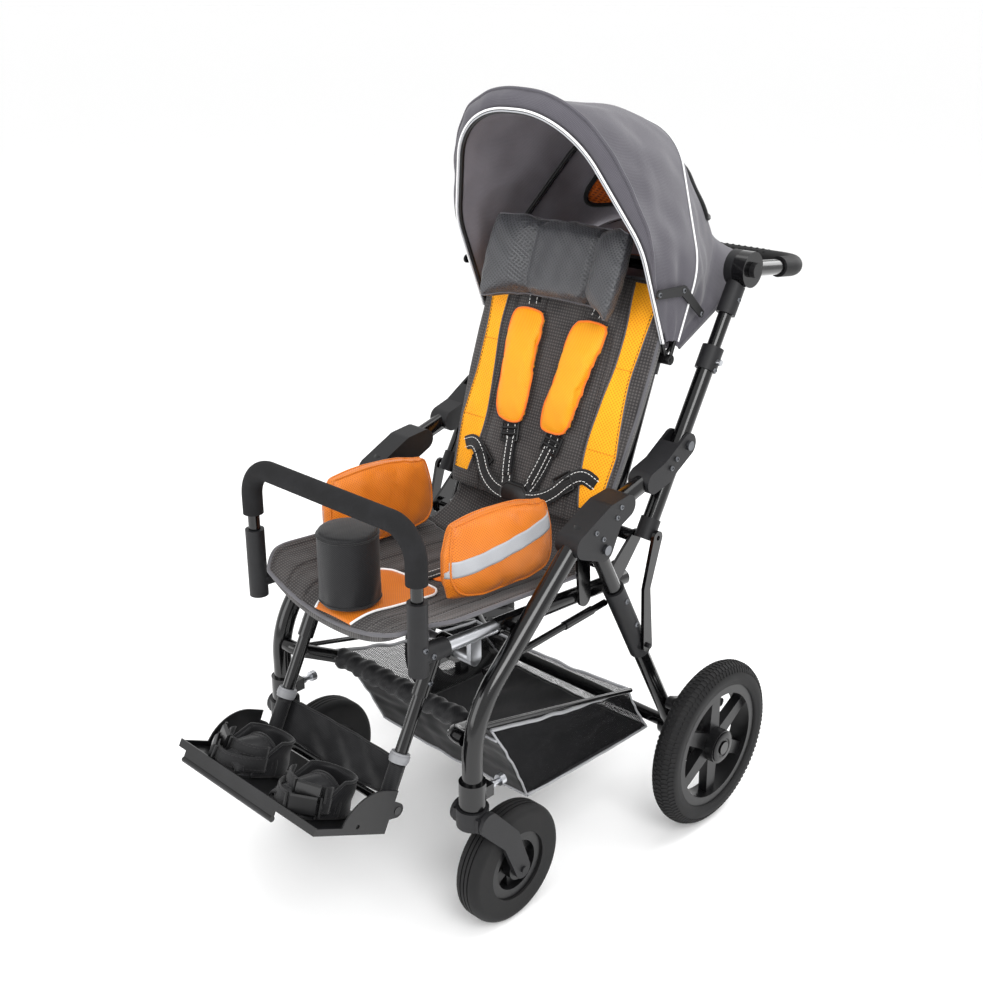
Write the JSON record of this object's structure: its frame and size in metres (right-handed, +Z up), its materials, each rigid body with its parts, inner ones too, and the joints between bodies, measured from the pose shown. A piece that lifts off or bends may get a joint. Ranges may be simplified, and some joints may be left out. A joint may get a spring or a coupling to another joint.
{
  "type": "special needs buggy",
  "caption": "Folding special needs buggy with a sling seat, reclining back, headrest, folding hood, grab bar, strap footrest, swivel front wheels and a push bar.",
  "frame": {"origin": "on the floor, in the middle plane, below the rear axle", "axes": "+X to the child's left, +Z up, the front of the buggy faces -Y"},
  "size_m": [0.648, 1.0348, 1.1904],
  "materials": {
    "black_paint": "gloss",
    "dark_plastic": "fine grain",
    "black_plastic": "satin",
    "silver": "satin",
    "tyre": "matte",
    "grip": "matte",
    "foam": "foam skin",
    "grey_mesh": "ribbed spacer mesh",
    "hood_cloth": "plain weave",
    "orange_cloth": "satin weave",
    "black_cloth": "nylon",
    "black_mesh": "open mesh",
    "grey_plastic": "satin"
  },
  "bodies": {
    "chassis": {"front_legs": "black_paint", "arm_tubes": "black_paint", "hub_brackets": "dark_plastic", "arm_joints": "dark_plastic", "cross_members": "black_paint", "seat_rails": "black_paint", "seat_stays": "black_paint", "seat_pad": "grey_mesh", "thigh_pads": "orange_cloth", "pommel": "black_cloth", "basket": "black_mesh", "pivot_bolts": "silver"},
    "rear_frame": {"rear_legs": "black_paint", "leg_sleeves": "dark_plastic", "rear_axle": "black_paint"},
    "brake_left": {"brake_lever_left": "black_plastic"},
    "brake_right": {"brake_lever_right": "black_plastic"},
    "back_wheel_left": {"rear_wheel_left": "black_plastic", "rear_tyre_left": "tyre"},
    "back_wheel_right": {"rear_wheel_right": "black_plastic", "rear_tyre_right": "tyre"},
    "links": {"fold_links": "black_paint"},
    "push_frame": {"handle_tubes": "black_paint", "handle_collars": "dark_plastic"},
    "push_risers": {"handle_risers": "black_paint", "handle_joints": "dark_plastic"},
    "push_handle": {"push_bar": "black_paint", "push_grip": "grip"},
    "joint_press_left": {"joint_button_left": "black_plastic"},
    "joint_press_right": {"joint_button_right": "black_plastic"},
    "collar_press_left": {"collar_button_left": "silver"},
    "collar_press_right": {"collar_button_right": "silver"},
    "back_carrier": {"recline_brackets": "black_paint"},
    "backrest": {"back_frame": "black_paint", "back_pad": "grey_mesh", "harness": "black_cloth", "hood_clips": "black_plastic", "hood_rear_hoop": "black_plastic", "hood_cover": "hood_cloth"},
    "head_support": {"headrest": "grey_mesh"},
    "hood_front": {"hood_front_hoop": "black_plastic", "hood_stays": "black_plastic"},
    "hood_middle": {"hood_mid_hoop": "black_plastic"},
    "seat_carriage": {"seat_extenders": "silver", "front_brackets": "dark_plastic"},
    "grab_rail": {"grab_bar": "black_paint", "grab_foam": "foam"},
    "hangers": {"foot_hangers": "black_paint"},
    "foot_frame": {"foot_tubes": "black_paint", "calf_strap": "black_cloth"},
    "foot_deck": {"footplate": "black_paint", "foot_straps": "black_cloth"},
    "caster_left": {"fork_left": "dark_plastic"},
    "caster_right": {"fork_right": "dark_plastic"},
    "caster_wheel_left": {"front_wheel_left": "grey_plastic", "front_tyre_left": "tyre"},
    "caster_wheel_right": {"front_wheel_right": "grey_plastic", "front_tyre_right": "tyre"},
    "lock_left": {"swivel_lock_left": "silver"},
    "lock_right": {"swivel_lock_right": "silver"}
  },
  "joints": [
    {"name": "frame_fold", "type": "hinge", "parent": "chassis", "child": "rear_frame", "pos_m": [0, -0.23, 0.555], "axis": [1, 0, 0], "range_deg": [0, 16]},
    {"name": "handle_fold", "type": "hinge", "parent": "chassis", "child": "push_frame", "pos_m": [0, -0.03, 0.666], "axis": [1, 0, 0], "range_deg": [0, 60]},
    {"name": "link_fold", "type": "hinge", "parent": "rear_frame", "child": "links", "pos_m": [0, -0.11698, 0.35353], "axis": [1, 0, 0], "range_deg": [-50.5, 0]},
    {"name": "back_fold", "type": "hinge", "parent": "chassis", "child": "back_carrier", "pos_m": [0, -0.146, 0.48215], "axis": [1, 0, 0], "range_deg": [0, 36]},
    {"name": "back_recline", "type": "hinge", "parent": "back_carrier", "child": "backrest", "pos_m": [0, -0.146, 0.48215], "axis": [-1, 0, 0], "range_deg": [-18, 0]},
    {"name": "headrest_height", "type": "slide", "parent": "backrest", "child": "head_support", "axis": [0, 0.3502, 0.9367], "range_m": [-0.01, 0.05]},
    {"name": "hood_fold", "type": "hinge", "parent": "backrest", "child": "hood_front", "pos_m": [0, -0.02973, 0.79313], "axis": [1, 0, 0], "range_deg": [-60, 0], "deforming": ["hood_cover"]},
    {"name": "hood_middle_fold", "type": "hinge", "parent": "backrest", "child": "hood_middle", "pos_m": [0, -0.02973, 0.79313], "axis": [1, 0, 0], "range_deg": [-24, 0]},
    {"name": "handle_height", "type": "slide", "parent": "push_frame", "child": "push_risers", "axis": [0, 0.4955, 0.8686], "range_m": [0, 0.07]},
    {"name": "handle_angle", "type": "hinge", "parent": "push_risers", "child": "push_handle", "pos_m": [0, 0.11319, 0.91703], "axis": [-1, 0, 0], "range_deg": [-40, 55]},
    {"name": "joint_button_left", "type": "slide", "parent": "push_handle", "child": "joint_press_left", "axis": [-1, 0, 0], "range_m": [0, 0.004], "stiffness_N_per_m": 900},
    {"name": "collar_button_left", "type": "slide", "parent": "push_frame", "child": "collar_press_left", "axis": [-1, 0, 0], "range_m": [0, 0.003], "stiffness_N_per_m": 900},
    {"name": "rear_wheel_spin_left", "type": "hinge", "parent": "rear_frame", "child": "back_wheel_left", "pos_m": [0.294, 0, 0.145], "axis": [1, 0, 0], "continuous": true},
    {"name": "brake_left", "type": "hinge", "parent": "rear_frame", "child": "brake_left", "pos_m": [0.24, -0.03821, 0.21312], "axis": [-1, 0, 0], "range_deg": [0, 7.5]},
    {"name": "caster_swivel_left", "type": "hinge", "parent": "chassis", "child": "caster_left", "pos_m": [0.217, -0.49, 0.21], "axis": [0, 0, 1], "continuous": true},
    {"name": "caster_spin_left", "type": "hinge", "parent": "caster_left", "child": "caster_wheel_left", "pos_m": [0.217, -0.415, 0.095], "axis": [1, 0, 0], "continuous": true},
    {"name": "swivel_lock_left", "type": "slide", "parent": "chassis", "child": "lock_left", "axis": [0, 1, 0], "range_m": [0, 0.008], "stiffness_N_per_m": 700},
    {"name": "joint_button_right", "type": "slide", "parent": "push_handle", "child": "joint_press_right", "axis": [1, 0, 0], "range_m": [0, 0.004], "stiffness_N_per_m": 900},
    {"name": "collar_button_right", "type": "slide", "parent": "push_frame", "child": "collar_press_right", "axis": [1, 0, 0], "range_m": [0, 0.003], "stiffness_N_per_m": 900},
    {"name": "rear_wheel_spin_right", "type": "hinge", "parent": "rear_frame", "child": "back_wheel_right", "pos_m": [-0.294, 0, 0.145], "axis": [1, 0, 0], "continuous": true},
    {"name": "brake_right", "type": "hinge", "parent": "rear_frame", "child": "brake_right", "pos_m": [-0.24, -0.03821, 0.21312], "axis": [-1, 0, 0], "range_deg": [0, 7.5]},
    {"name": "caster_swivel_right", "type": "hinge", "parent": "chassis", "child": "caster_right", "pos_m": [-0.217, -0.49, 0.21], "axis": [0, 0, 1], "continuous": true},
    {"name": "caster_spin_right", "type": "hinge", "parent": "caster_right", "child": "caster_wheel_right", "pos_m": [-0.217, -0.415, 0.095], "axis": [1, 0, 0], "continuous": true},
    {"name": "swivel_lock_right", "type": "slide", "parent": "chassis", "child": "lock_right", "axis": [0, 1, 0], "range_m": [0, 0.008], "stiffness_N_per_m": 700},
    {"name": "seat_depth", "type": "slide", "parent": "chassis", "child": "seat_carriage", "axis": [0, -0.9971, 0.0767], "range_m": [0, 0.05]},
    {"name": "grab_height", "type": "slide", "parent": "seat_carriage", "child": "grab_rail", "axis": [0, 0, 1], "range_m": [-0.02, 0.05]},
    {"name": "leg_angle", "type": "hinge", "parent": "seat_carriage", "child": "hangers", "pos_m": [0, -0.446, 0.438], "axis": [-1, 0, 0], "range_deg": [0, 30]},
    {"name": "foot_length", "type": "slide", "parent": "hangers", "child": "foot_frame", "axis": [0, 0.4524, 0.8918], "range_m": [0, 0.045]},
    {"name": "footplate_angle", "type": "hinge", "parent": "foot_frame", "child": "foot_deck", "pos_m": [0, -0.58043, 0.23933], "axis": [1, 0, 0], "range_deg": [-12, 25]}
  ],
  "couplings": [
    {"joint": "handle_fold", "follows": "frame_fold", "ratio": 3.75},
    {"joint": "link_fold", "follows": "frame_fold", "ratio": -3.1375},
    {"joint": "back_fold", "follows": "frame_fold", "ratio": 2.25},
    {"joint": "hood_middle_fold", "follows": "hood_fold", "ratio": 0.4}
  ]
}
